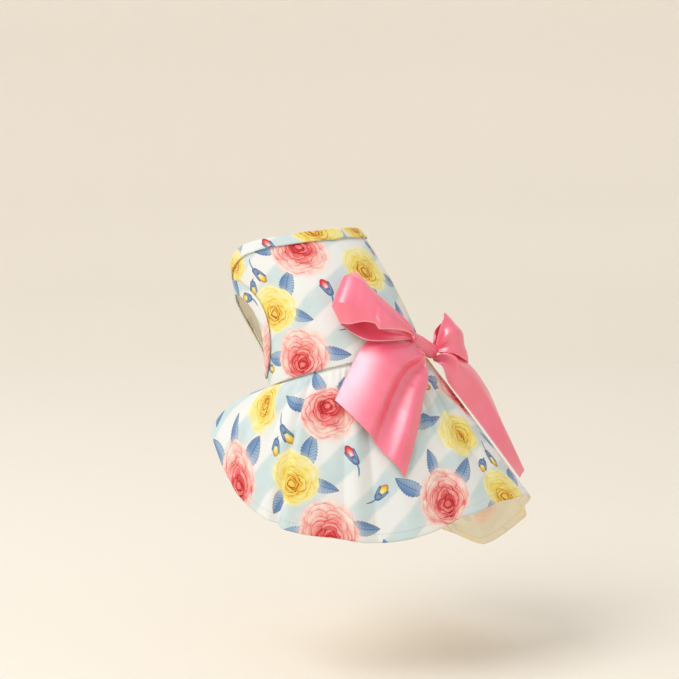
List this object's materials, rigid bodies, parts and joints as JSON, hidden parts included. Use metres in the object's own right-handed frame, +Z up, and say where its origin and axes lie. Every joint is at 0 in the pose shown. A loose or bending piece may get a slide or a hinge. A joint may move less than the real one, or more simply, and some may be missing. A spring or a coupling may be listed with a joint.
{
  "type": "dog dress",
  "caption": "Sleeveless floral cotton dress for a small dog, with bound arm and neck holes, a pleated skirt over the rump and a satin bow at the back of the waist.",
  "frame": {"origin": "middle of the waist, inside the dress, where the wearer's body passes through the waist seam", "axes": "+Z up, -Y towards the wearer's back and the bow, +Y towards the belly, -X towards the wearer's left"},
  "size_m": [0.273, 0.2587, 0.2933],
  "materials": {
    "floral_cotton": "printed cotton poplin, roses on pale stripes",
    "pink_satin": "glossy satin ribbon"
  },
  "bodies": {
    "root": {"back_panel": "floral_cotton", "chest_panel": "floral_cotton", "skirt": "floral_cotton", "left_arm_band": "floral_cotton", "right_arm_band": "floral_cotton", "neck_band": "floral_cotton", "bow_knot": "pink_satin", "bow_left_loop": "pink_satin", "bow_right_loop": "pink_satin", "bow_left_tail": "pink_satin", "bow_right_tail": "pink_satin"}
  },
  "joints": []
}
